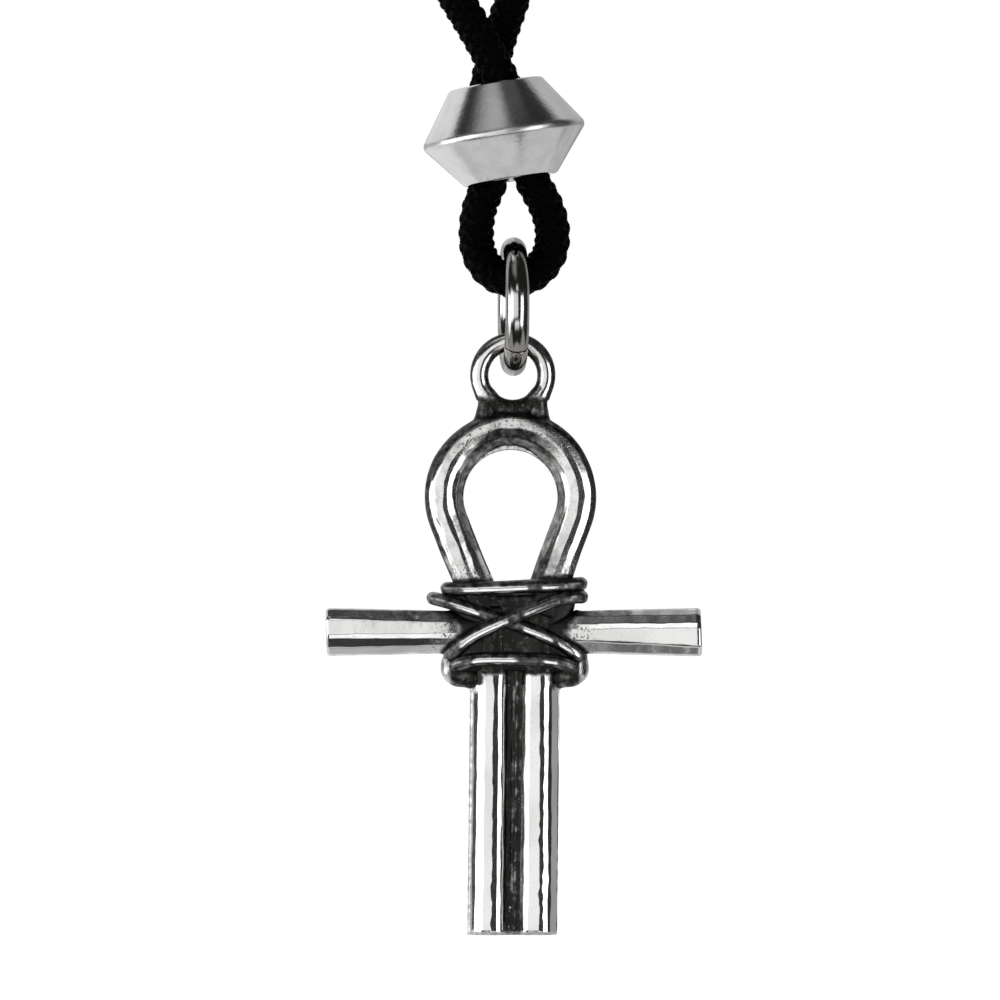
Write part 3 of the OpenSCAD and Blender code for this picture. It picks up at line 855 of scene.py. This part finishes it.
def lobe_painted_highlight(points, normals, black):
    """A painted highlight: less black along its outermost side."""
    # painted highlight along the outermost side
    return black * (1 - 0.45 * fade(np.abs(points[:, 0]), 3.95, 0.25))


# %% How pitted the metal is
def pits_of(kind, points, near, corner):
    """How pitted a place is, from 0 to 1: by the corners, near the binding, at the loop's top,
    and more and more down the web."""
    if kind == "core":
        return np.full(len(points), 0.45)
    if kind == "web":
        return 0.4 + 0.6 * fade(-points[:, 2], 10, 6)
    pits = corner * 0.4
    if kind in ("loop", "left_arm", "right_arm", "bail"):
        pits = np.maximum(pits, 1 - fade(near, 0.3, 1.6))
    if kind == "loop":
        pits = np.maximum(pits, fade(points[:, 2] - LOOP_Z, 2.0, 1.6))
    return pits


# %% Swelling the corners, waving the surface, and laying on the finish
# The least blackness of each kind, and its rule
BLACK = {"left_rod": 0.0, "right_rod": 0.0, "web": 0.97, "left_arm": 0.0, "right_arm": 0.0,
         "loop": 0.33, "core": 0.93, "bail": 0.3, "left_foot": 0.8, "right_foot": 0.8,
         "left_lobe": 0.8, "right_lobe": 0.8, "wire": 0.77}
RULES = {"left_rod": rod_patina_and_painted_shade, "right_rod": rod_patina_and_painted_shade, "web": web_patina_and_painted_glints, "left_arm": arm_patina_and_painted_shade,
         "right_arm": arm_patina_and_painted_shade, "loop": loop_patina_and_painted_shade, "core": black_core, "bail": bail_patina_and_painted_shade,
         "left_lobe": lobe_painted_highlight, "right_lobe": lobe_painted_highlight}
finished, blackness, pitting = [], [], []
for name, (parts, _) in SKINS.items():
    points, quads, tris = parts
    kind = kind_of(name)
    near, swell = near_and_swell(name, points)
    swell *= fade(points[:, 2] + SHAFT_L, 0, 0.4)      # the foot stays flat
    wave = 0.008 * ripple(points, 2.0, 5) + 0.0012 * ripple(points, 0.7, 6)
    out_by = swell + wave * (0.6 if kind == "wire" else 1.0)
    points = points + point_normals(points, quads, tris) * out_by[:, None]
    normals = point_normals(points, quads, tris)
    corner = 1 - fade(near, 0.05, 0.55)
    if kind == "wire":
        black = black_wire(points, normals, corner, RUBBED[int(name[5:])])
    else:
        black = np.maximum(BLACK[kind], corner)
    if kind in RULES:
        black = RULES[kind](points, normals, black)
    finished.append((points, quads, tris))
    blackness.append(black)
    pitting.append(pits_of(kind, points, near, corner))
casting_points, casting_quads, casting_tris = joined(finished)

# The real casting is a little crooked: its loop leans left and its shaft runs down to the left
casting_points[:, 0] += np.interp(
    casting_points[:, 2], [-19.2, -2.5, 1.0, 5.0, 11.0, 13.0, 14.6, 20],
    [-0.09, 0.09, 0.0, -0.17, -0.2, -0.12, -0.04, -0.04])
print("casting points", len(casting_points))

# %% [markdown]
# Silver is darkened with a sulphide bath and polished again, so it is bright where a wheel
# reaches and black in the corners. The two attributes of the casting tell how black a place is,
# by that patina and by painted shade and highlights, and how pitted. The rest is texture: a fine
# wave left by the file, pits with painted sparkles in them, and a ragged border. Painting an image
# onto the mesh would need its layout unwrapped first. Textures worked out from the place on the
# piece need none, and keep their grain in millimetres.

# %% Textures in millimetres, and bare metal
def place_in_mm(maker):
    """The place on the piece, in mm."""
    place = maker.node("ShaderNodeTexCoord", {}, {}, "Object")
    return maker.node("ShaderNodeVectorMath", {"operation": "SCALE"}, {0: place, "Scale": 1000.0})


def attribute(maker, name):
    """A number that the mesh keeps for each of its points."""
    return maker.node("ShaderNodeAttribute", {"attribute_name": name}, {}, "Fac")


def noise(maker, place, scale, detail=2.0):
    """Noise from 0 to 1 with about scale grains in a millimetre."""
    return maker.node("ShaderNodeTexNoise", {}, {"Vector": place, "Scale": scale,
                                                 "Detail": detail, "Roughness": 0.5})


def metal_surface(maker, colour, roughness, height, depth):
    """Bare metal whose normal tilts as if the surface stood up by height times depth, in mm."""
    bump = maker.node("ShaderNodeBump", {}, {"Strength": 1.0, "Distance": depth * MM,
                                             "Height": height})
    maker.surface("ShaderNodeBsdfPrincipled", {
        "Base Color": colour, "Metallic": 1.0, "Roughness": roughness, "Normal": bump})


# %% The metal of the ankh
casting_metal, maker = new_material("blackened_silver")
place = place_in_mm(maker)
grain = noise(maker, place, 2.2, 3.0)
# the blackness holds patina in the corners together with painted shade and painted highlights
black = (attribute(maker, "patina_and_painted_light") + (grain - 0.5) * 0.7).rise(0.2, 0.92)
pitted = attribute(maker, "pits")
pit = noise(maker, place, 5.5, 1.0).rise(0.58, 0.68) * pitted
# painted sparkle: bright specks painted into the black of pitted places
painted_sparkle = noise(maker, place, 5.0, 2.0).rise(0.66, 0.74) * pitted * black
black = black - painted_sparkle * 0.4
speck = noise(maker, place, 9.0, 2.0).rise(0.6, 0.72) * 0.16
bloom = noise(maker, place, 0.3, 1.0).rise(0.35, 0.65)
silver = maker.blend(bloom, (0.9, 0.895, 0.885), (0.79, 0.785, 0.775))
colour = maker.blend(black.highest(pit * 0.8).highest(speck), silver, (0.03, 0.03, 0.028))
height = noise(maker, place, 2.2, 1.0) + noise(maker, place, 6.0, 1.0) * 0.12 - pit * 1.2
metal_surface(maker, colour, 0.14 + black * 0.24 + pitted * 0.07, height, 0.008)

make_piece("ankh_casting", "pendant", "ankh", casting_metal,
           (casting_points + ANKH_ZERO, casting_quads, casting_tris),
           {"patina_and_painted_light": np.concatenate(blackness), "pits": np.concatenate(pitting)})

# %% [markdown]
# ## The jump ring
# A piece of round chromed wire bent into a ring, with its cut closed but still to be seen. A
# torus would have no cut, so a bar is carried round nearly all of a circle. The ring hangs in the
# bend of the cord with its plane front to back, so the front shows an upright bar. Its colour is
# painted darker above and below its middle height: painted shade that keeps it brightest there.

# %% The ring and its cut
RING_MIDDLE = np.array([0.1, FRONT, -196.69])
RING_R, RING_WIRE_R, RING_CUT = 3.64, 0.75, 0.08
RING_CUT_ANGLE, RING_TURN = -43.0, math.radians(4)
half_cut = RING_CUT / 2 / RING_R
close_to_cut = np.array([half_cut, half_cut + 0.004])
round_ring = math.radians(RING_CUT_ANGLE) + np.concatenate([
    close_to_cut, np.linspace(half_cut + 0.015, 2 * np.pi - half_cut - 0.015, 150),
    2 * np.pi - close_to_cut[::-1]])
forward = np.array([math.sin(RING_TURN), -math.cos(RING_TURN), 0])
ring_side = np.array([math.cos(RING_TURN), math.sin(RING_TURN), 0])
ring_path = RING_MIDDLE + RING_R * (np.cos(round_ring)[:, None] * forward
                                    + np.sin(round_ring)[:, None] * [0, 0, 1])
ring_radius = np.full(len(round_ring), RING_WIRE_R)
ring_radius[[0, -1]] = RING_WIRE_R - 0.04      # the cut's two edges are broken
print("cut in the ring:", RING_CUT, "mm")

# %% The metal of the ring
ring_metal, maker = new_material("chromed_wire")
place = place_in_mm(maker)
scuff = noise(maker, place, 2.0)
up_ring = maker.node("ShaderNodeSeparateXYZ", {}, [place], "Z") - RING_MIDDLE[2]
# painted shade: the ring's colour is darker above and below its middle height
painted_ring_shade = 1 - (up_ring + scuff * 0.5).band(-1.0, 1.15, 0.3)
metal_surface(maker, maker.blend(painted_ring_shade, (0.66, 0.655, 0.65), (0.36, 0.35, 0.335)),
              0.1 + scuff * 0.06, scuff, 0.004)
make_piece("jump_ring_wire", "ring", "jump_ring", ring_metal,
           skin(round_bar(ring_path, ring_radius, 48, ring_side)))

# %% [markdown]
# ## The bead
# Turned on a lathe: two cones that meet in a rounded edge, flat faces, and a bored hole that both
# strands pass through. The profile's corners are broken by small arcs, as a polishing wheel does.
# Two cones from the menu would meet in a knife edge and have no bore. The bead leans a little, as
# it does on its two strands.

# %% A profile with rounded corners, turned round an axis
def rounded_profile(corners, radii, steps=7):
    """A closed profile whose corners are cut back by radii and joined by curves
    (1-t)^2 p + 2t(1-t) corner + t^2 q, where p and q are the places where the cut begins."""
    corners, out = np.asarray(corners, float), []
    t = np.linspace(0, 1, steps)[:, None]
    for k, corner in enumerate(corners):
        before, after = corners[k - 1] - corner, corners[(k + 1) % len(corners)] - corner
        p = corner + before / np.linalg.norm(before) * radii[k]
        q = corner + after / np.linalg.norm(after) * radii[k]
        out.append((1 - t) ** 2 * p + 2 * t * (1 - t) * corner + t ** 2 * q)
    return np.vstack(out)


def lathe(profile, columns):
    """Rows along a closed profile of (radius, height), each turned round the Z axis."""
    t = np.linspace(0, 2 * np.pi, columns, endpoint=False)
    return np.stack([profile[:, :1] * np.cos(t), profile[:, :1] * np.sin(t),
                     np.broadcast_to(profile[:, 1:], (len(profile), columns))], -1)


BEAD_PLACE, BEAD_LEAN = np.array([-0.5, FRONT, -185.85]), math.radians(9.3)
BEAD_R, FACE_R, HOLE_R, BEAD_UP, BEAD_DOWN, RIM = 5.15, 2.95, 2.65, 3.3, 2.85, 0.3
profile = rounded_profile(
    [(HOLE_R, -BEAD_DOWN), (FACE_R, -BEAD_DOWN), (BEAD_R, -RIM / 2), (BEAD_R, RIM / 2),
     (FACE_R, BEAD_UP), (HOLE_R, BEAD_UP)], [0.1, 0.14, 0.13, 0.13, 0.14, 0.1])
bead_x, bead_y, bead_z = np.moveaxis(lathe(profile, 180), -1, 0)
lean_cos, lean_sin = math.cos(BEAD_LEAN), math.sin(BEAD_LEAN)
bead_points = BEAD_PLACE + np.stack([bead_x * lean_cos - bead_z * lean_sin, bead_y,
                                     bead_x * lean_sin + bead_z * lean_cos], -1)
print("bead profile of", len(profile), "points")

# %% The metal of the bead, duller along its worn edge
bead_metal, maker = new_material("satin_metal")
place = place_in_mm(maker)
brushed = noise(maker, place, 3.5, 4.0)
cloud = noise(maker, place, 0.9, 3.0).rise(0.35, 0.65)
from_middle = maker.node("ShaderNodeVectorMath", {"operation": "SUBTRACT"},
                         {0: place, 1: tuple(BEAD_PLACE)})
up_bead = maker.node("ShaderNodeVectorMath", {"operation": "DOT_PRODUCT"},
                     {0: from_middle, 1: (-lean_sin, 0.0, lean_cos)}, "Value")
worn_edge = 1 - abs(up_bead).rise(0.16, 0.4)
metal_surface(maker, maker.blend(cloud, (0.83, 0.83, 0.83), (0.75, 0.75, 0.75)),
              0.11 + brushed * 0.08 + worn_edge * 0.17, brushed, 0.006)
make_piece("bead_turned", "necklace", "bead", bead_metal,
           skin(bead_points, ring=True))

# %% [markdown]
# ## The cord
# One braided cord runs from the sleeve at the nape down the right side, through the bead, under
# the jump ring, up through the bead again and back round the left side. It follows the same
# smooth curve through the same points as the CAD cord, so that it fits the bead and the sleeve.

# %% The route of the cord
CORD_R, HALF_W, REACH, DROP, BEAD_RISE = 1.1, 67.0, 135.0, 195.0, 9.15
EYE = np.array([0.1, FRONT, -195.0])
# Round the neck, as shares of half its width, its reach and its drop
SIDE = np.array([[.403, .037, .005], [.791, .185, .036], [1, .415, .092], [.94, .652, .21],
                 [.672, .83, .395], [.425, .922, .564], [.179, .981, .738], [.042, .995, .8615]])
OTHER_SIDE = np.array([[-.128, 1.0015, .8615], [-.313, .978, .738], [-.545, .9185, .564],
                       [-.754, .822, .395], [-.955, .652, .21], [-1, .415, .092],
                       [-.791, .185, .036], [-.403, .037, .005]])
# From strand to strand through the bead and round the eye, in cord widths and bead rises
HANGING = np.array([
    [0, .364, 1.967], [-.455, .545, 1.639], [-.75, .545, 1.344], [-.773, .318, 1.005],
    [-.682, .045, .678], [-.955, 0, .514], [-1.068, 0, .339], [-.977, 0, .175],
    [-.568, 0, .044], [0, 0, 0], [.568, 0, .044], [1.023, 0, .175], [1.114, 0, .35],
    [.909, 0, .525], [.568, -.045, .678], [.205, -.318, 1.005], [-.273, -.545, 1.344],
    [-.773, -.568, 1.585], [-1.864, -.409, 2.033]])
neck_scale = np.array([HALF_W, -REACH, -DROP])
knots = np.vstack([[[0.4, 0, 0], [9.2, 0, 0]], SIDE * neck_scale,
                   EYE + HANGING * [2 * CORD_R, 2 * CORD_R, BEAD_RISE],
                   OTHER_SIDE * neck_scale, [[-9.2, 0, 0], [-0.4, 0, 0]]])


# %% A smooth curve through the knots
def smooth_route(knots, steps):
    """A cubic through the knots. The direction at a knot is the mean of the two chords'
    directions, each weighed by the length of the other chord."""
    chord = np.diff(knots, axis=0)
    h = np.linalg.norm(chord, axis=1)
    slope = chord / h[:, None]
    tangent = np.vstack([slope[:1], (slope[:-1] * h[1:, None] + slope[1:] * h[:-1, None])
                         / (h[:-1] + h[1:])[:, None], slope[-1:]])
    t = np.linspace(0, 1, steps, endpoint=False)[None, :, None]
    a, b = knots[:-1, None], knots[1:, None]
    da, db = tangent[:-1, None] * h[:, None, None], tangent[1:, None] * h[:, None, None]
    curve = ((2 * t ** 3 - 3 * t ** 2 + 1) * a + (t ** 3 - 2 * t ** 2 + t) * da
             + (3 * t ** 2 - 2 * t ** 3) * b + (t ** 3 - t ** 2) * db)
    return np.vstack([curve.reshape(-1, 3), knots[-1:]])


route = smooth_route(knots, 200)
run = np.concatenate([[0], np.cumsum(np.linalg.norm(np.diff(route, axis=0), axis=1))])
# Rows lie close together in the part near the bead and further apart round the neck
density = np.interp(route[:, 2], [-172, -164], [1 / 0.08, 1 / 0.7])
count = np.concatenate([[0], np.cumsum(np.diff(run) * (density[1:] + density[:-1]) / 2)])
rows = np.linspace(0, count[-1], int(count[-1]))
way = np.interp(rows, count, run)      # each row's place along the cord, in mm
cord_path = np.stack([np.interp(way, run, route[:, k]) for k in range(3)], -1)
print("cord", round(run[-1], 1), "mm long,", len(way), "rows")

# %% [markdown]
# The cord's skin is woven: two families of strands wind against each other and pass over and
# under in turn. Each strand is a cosine of the turn round the cord plus or minus the way along
# it. Near the bead the outline shows the strands, so they are shape there. All along the cord a
# relief in the fibre follows the same strands, and it needs coordinates of the braid's own.

# %% The braid
outward = cord_path - [0, -65, -60]
outward /= np.linalg.norm(outward, axis=1, keepdims=True)
low_down = smooth_step((-140 - cord_path[:, 2]) / 30)[:, None]
level = outward * (1 - low_down) + np.array([0, -1.0, 0]) * low_down
COLUMNS, STRANDS, CROSSING = 48, 6, 0.8
angle = np.linspace(0, 2 * np.pi, COLUMNS, endpoint=False)
to_left = STRANDS * angle + 2 * np.pi * way[:, None] / CROSSING
to_right = STRANDS * angle - 2 * np.pi * way[:, None] / CROSSING
over = 0.5 + 0.5 * np.tanh(4 * np.cos(to_left / 2) * np.cos(to_right / 2))
strand = np.maximum(over * (0.5 + 0.5 * np.cos(to_left)),
                    (1 - over) * (0.5 + 0.5 * np.cos(to_right)))
raised = smooth_step((-165 - cord_path[:, 2]) / 5)[:, None]
cord_skin = skin(round_bar(cord_path, CORD_R + raised * (0.16 * strand - 0.11), COLUMNS, level))

# %% The braid's own coordinates: turns round the cord, and millimetres along it
_, quads, tris = cord_skin
row_of, column_of = np.divmod(quads, COLUMNS)
wrapped = (column_of.max(1) - column_of.min(1)) > 1
turns = column_of + COLUMNS * (wrapped[:, None] & (column_of == 0))
quad_uv = np.stack([turns / COLUMNS, way[row_of]], -1).reshape(-1, 2)
end_uv = np.zeros((tris.size, 2))
print("braid of", STRANDS, "strands each way, crossing every", CROSSING, "mm")

# %% The black fibre
cord_fibre, maker = new_material("black_braid")
uv = maker.node("ShaderNodeUVMap", {"uv_map": "braid"}, {})
across, along = (maker.node("ShaderNodeSeparateXYZ", {}, [uv], axis) for axis in "XY")
round_it, along_it = across * (2 * math.pi * STRANDS), along * (2 * math.pi / CROSSING)
first, second = round_it + along_it, round_it - along_it
quarter = math.pi / 2      # the sine of a quarter turn more is the cosine
crossing = (first * 0.5 + quarter).sine() * (second * 0.5 + quarter).sine()
on_top = crossing.rise(-0.25, 0.25)
weave = (on_top * (first + quarter).sine()).highest((1 - on_top) * (second + quarter).sine())
# glint: patches whose colour is painted lighter and bluer, painted glints, and whose roughness is
# lower
glint = noise(maker, place_in_mm(maker), 1.6).rise(0.62, 0.75)
bump = maker.node("ShaderNodeBump", {}, {"Strength": 1.0, "Distance": 0.05 * MM,
                                         "Height": weave})
maker.surface("ShaderNodeBsdfPrincipled", {
    "Base Color": maker.blend(glint, (0.0004, 0.0004, 0.0005), (0.002, 0.0024, 0.0034)),
    "Roughness": 0.5 - glint * 0.15, "Specular IOR Level": 0.03, "Normal": bump})
make_piece("cord_braid", "necklace", "neck_cord", cord_fibre, cord_skin,
           uv=np.vstack([quad_uv, end_uv]))

# %% [markdown]
# ## The sleeve at the nape
# A short tube that holds the cord's two ends. It is turned and brushed, and pressed onto the cord
# near both ends, where two shallow bands go round it. It is made on the same lathe as the bead,
# with its axis laid along X, and its brushing is noise stretched round the tube.

# %% The sleeve
SLEEVE_HALF, BORE, WALL_R = 7.0, 1.15, 1.85
sleeve_z = np.linspace(-SLEEVE_HALF + 0.25, SLEEVE_HALF - 0.25, 90)
pressed = 0.09 * (np.exp(-((np.abs(sleeve_z) - 4.9) / 0.45) ** 2))
lower_end = np.array([(BORE, -SLEEVE_HALF), (WALL_R - 0.25, -SLEEVE_HALF),
                      (WALL_R - 0.08, -SLEEVE_HALF + 0.08)])
profile = np.vstack([lower_end, np.stack([WALL_R - pressed, sleeve_z], -1),
                     lower_end[::-1] * [1, -1]])
sleeve_metal, maker = new_material("brushed_sleeve")
brush_place = maker.node("ShaderNodeVectorMath", {"operation": "MULTIPLY"},
                         {0: place_in_mm(maker), 1: (9.0, 0.7, 0.7)})
brush = noise(maker, brush_place, 1.0, 3.0)
metal_surface(maker, (0.75, 0.75, 0.76), 0.24 + brush * 0.12, brush, 0.004)
make_piece("sleeve_turned", "necklace", "nape_sleeve", sleeve_metal,
           skin(lathe(profile, 64)[..., [2, 0, 1]], ring=True))
